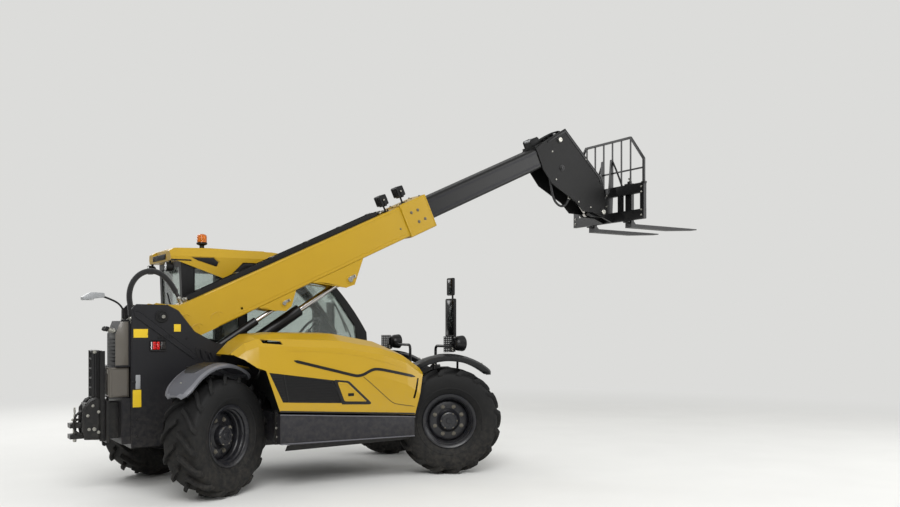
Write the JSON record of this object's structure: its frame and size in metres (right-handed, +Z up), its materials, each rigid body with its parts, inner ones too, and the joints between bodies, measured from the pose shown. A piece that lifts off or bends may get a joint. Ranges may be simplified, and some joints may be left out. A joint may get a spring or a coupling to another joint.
{
  "type": "telehandler",
  "caption": "Compact telehandler with side cab, raised telescopic boom, pallet forks with a load guard and steering on every wheel.",
  "frame": {"origin": "centre of the machine's box on the ground under its wheels, boom raised and wheels steered", "axes": "+X forwards along the forks, +Y to the machine's left, +Z up"},
  "size_m": [6.9774, 2.192, 3.6],
  "materials": {
    "yellow_paint": "gloss enamel",
    "charcoal_paint": "satin",
    "black_paint": "semi-gloss",
    "black_plastic": "grained",
    "grey_plastic": "grained",
    "glass": "clear tinted",
    "tyre": "matt",
    "rim_paint": "satin",
    "cast_black": "painted cast",
    "chrome": "bright",
    "seat_cloth": "woven",
    "lamp_glass": "clear lens",
    "hose_rubber": "matt",
    "engine_metal": "as cast"
  },
  "bodies": {
    "chassis": {"chassis_frame": "black_paint", "boom_tower": "charcoal_paint", "rear_housing": "charcoal_paint", "tow_hitch": "black_paint", "rear_axle": "cast_black", "front_axle": "cast_black", "engine_block": "engine_metal", "side_tank": "grey_plastic", "left_sill": "grey_plastic", "cab_frame": "black_paint", "cab_roof": "yellow_paint", "cab_glass": "glass", "cab_interior": "seat_cloth", "lamps": "lamp_glass", "mirrors": "black_plastic", "hose_loop": "hose_rubber"},
    "steer_rear_right": {"knuckle_rear_right": "cast_black", "fender_rear_right": "grey_plastic"},
    "wheel_rear_right": {"rim_rear_right": "rim_paint", "tyre_rear_right": "tyre"},
    "steer_rear_left": {"knuckle_rear_left": "cast_black", "fender_rear_left": "grey_plastic"},
    "wheel_rear_left": {"rim_rear_left": "rim_paint", "tyre_rear_left": "tyre"},
    "steer_front_right": {"knuckle_front_right": "cast_black", "fender_front_right": "grey_plastic"},
    "wheel_front_right": {"rim_front_right": "rim_paint", "tyre_front_right": "tyre"},
    "steer_front_left": {"knuckle_front_left": "cast_black", "fender_front_left": "grey_plastic"},
    "wheel_front_left": {"rim_front_left": "rim_paint", "tyre_front_left": "tyre"},
    "tie_rod_rear": {"tie_rod_rear": "cast_black"},
    "tie_rod_front": {"tie_rod_front": "cast_black"},
    "boom": {"boom_main": "yellow_paint", "boom_tray": "black_paint", "boom_lamps": "black_plastic"},
    "extension": {"boom_extension": "black_paint", "boom_head": "black_paint", "head_hose": "hose_rubber"},
    "lift_barrel": {"lift_barrel": "black_paint"},
    "lift_rod": {"lift_rod": "chrome"},
    "comp_barrel": {"comp_barrel": "black_paint"},
    "comp_rod": {"comp_rod": "chrome"},
    "tilt_barrel": {"tilt_barrel": "black_paint"},
    "tilt_rod": {"tilt_rod": "chrome"},
    "carriage": {"fork_carriage": "black_paint", "forks": "black_paint"},
    "hood": {"engine_hood": "yellow_paint", "hood_grille": "black_plastic"},
    "door": {"cab_door": "black_paint", "door_glass": "glass"}
  },
  "joints": [
    {"name": "steer_rear_right", "type": "hinge", "parent": "chassis", "child": "steer_rear_right", "pos_m": [-2.55865, -0.56, 0.49997], "axis": [0, 0, 1], "range_deg": [-68, 2]},
    {"name": "spin_rear_right", "type": "hinge", "parent": "steer_rear_right", "child": "wheel_rear_right", "pos_m": [-2.46606, -0.70257, 0.49997], "axis": [-0.5446, 0.8387, 0], "continuous": true},
    {"name": "steer_rear_left", "type": "hinge", "parent": "chassis", "child": "steer_rear_left", "pos_m": [-2.55865, 0.56, 0.49997], "axis": [0, 0, 1], "range_deg": [-68, 2]},
    {"name": "spin_rear_left", "type": "hinge", "parent": "steer_rear_left", "child": "wheel_rear_left", "pos_m": [-2.65124, 0.70257, 0.49997], "axis": [-0.5446, 0.8387, 0], "continuous": true},
    {"name": "tie_rod_pivot_rear", "type": "hinge", "parent": "steer_rear_right", "child": "tie_rod_rear", "pos_m": [-2.39092, -0.45107, 0.42997], "axis": [0, 0, 1], "range_deg": [-2, 68]},
    {"name": "steer_front_right", "type": "hinge", "parent": "chassis", "child": "steer_front_right", "pos_m": [-0.15865, -0.56, 0.49997], "axis": [0, 0, 1], "range_deg": [-10, 60]},
    {"name": "spin_front_right", "type": "hinge", "parent": "steer_front_right", "child": "wheel_front_right", "pos_m": [-0.2305, -0.71407, 0.49997], "axis": [0.4226, 0.9063, 0], "continuous": true},
    {"name": "steer_front_left", "type": "hinge", "parent": "chassis", "child": "steer_front_left", "pos_m": [-0.15865, 0.56, 0.49997], "axis": [0, 0, 1], "range_deg": [-10, 60]},
    {"name": "spin_front_left", "type": "hinge", "parent": "steer_front_left", "child": "wheel_front_left", "pos_m": [-0.0868, 0.71407, 0.49997], "axis": [0.4226, 0.9063, 0], "continuous": true},
    {"name": "tie_rod_pivot_front", "type": "hinge", "parent": "steer_front_right", "child": "tie_rod_front", "pos_m": [-0.33991, -0.47548, 0.42997], "axis": [0, 0, 1], "range_deg": [-60, 10]},
    {"name": "boom_lift", "type": "hinge", "parent": "chassis", "child": "boom", "pos_m": [-2.79865, -0.0775, 1.47897], "axis": [0, -1, 0], "range_deg": [-27, 35], "deforming": ["hose_loop"]},
    {"name": "boom_extend", "type": "slide", "parent": "boom", "child": "extension", "axis": [0.9068, 0, 0.4215], "range_m": [-1.3, 0.75]},
    {"name": "carriage_tilt", "type": "hinge", "parent": "extension", "child": "carriage", "pos_m": [2.20135, -0.0775, 2.70497], "axis": [0, 1, 0], "range_deg": [-30, 75]},
    {"name": "lift_swing", "type": "hinge", "parent": "chassis", "child": "lift_barrel", "pos_m": [-2.50865, -0.03, 0.85997], "axis": [0, -1, 0], "range_deg": [-25.46, 32.86]},
    {"name": "lift_stroke", "type": "slide", "parent": "lift_barrel", "child": "lift_rod", "axis": [0.8358, 0, 0.549], "range_m": [-0.30796, 0.39862]},
    {"name": "comp_swing", "type": "hinge", "parent": "boom", "child": "comp_rod", "pos_m": [-1.68694, -0.16, 1.60204], "axis": [0, -1, 0], "range_deg": [-1.58, 1.9]},
    {"name": "comp_stroke", "type": "slide", "parent": "comp_rod", "child": "comp_barrel", "axis": [0.8382, 0, 0.5453], "range_m": [-0.29033, 0.22442]},
    {"name": "tilt_swing", "type": "hinge", "parent": "extension", "child": "tilt_barrel", "pos_m": [1.59345, -0.0775, 3.15661], "axis": [0, -1, 0], "range_deg": [-6.64, 15.85]},
    {"name": "tilt_stroke", "type": "slide", "parent": "tilt_barrel", "child": "tilt_rod", "axis": [0.6966, 0, -0.7175], "range_m": [-0.07032, 0.02933]},
    {"name": "hood_lid", "type": "hinge", "parent": "chassis", "child": "hood", "pos_m": [-1.45865, -0.287, 1.28897], "axis": [-1, 0, 0], "range_deg": [0, 50]},
    {"name": "cab_door_swing", "type": "hinge", "parent": "chassis", "child": "door", "pos_m": [-1.91865, 0.889, 1.29997], "axis": [0, 0, 1], "range_deg": [0, 95]}
  ],
  "couplings": [
    {"joint": "steer_rear_left", "follows": "steer_rear_right", "ratio": 1},
    {"joint": "tie_rod_pivot_rear", "follows": "steer_rear_right", "ratio": -1},
    {"joint": "steer_front_left", "follows": "steer_front_right", "ratio": 1},
    {"joint": "tie_rod_pivot_front", "follows": "steer_front_right", "ratio": -1},
    {"joint": "lift_swing", "follows": "boom_lift", "ratio": 0.92447},
    {"joint": "lift_stroke", "follows": "boom_lift", "m_per_rad": 0.64927},
    {"joint": "comp_swing", "follows": "boom_lift", "ratio": 0.04},
    {"joint": "comp_stroke", "follows": "boom_lift", "m_per_rad": -0.472},
    {"joint": "tilt_swing", "follows": "carriage_tilt", "ratio": 0.20472},
    {"joint": "tilt_stroke", "follows": "carriage_tilt", "m_per_rad": -0.052189}
  ]
}
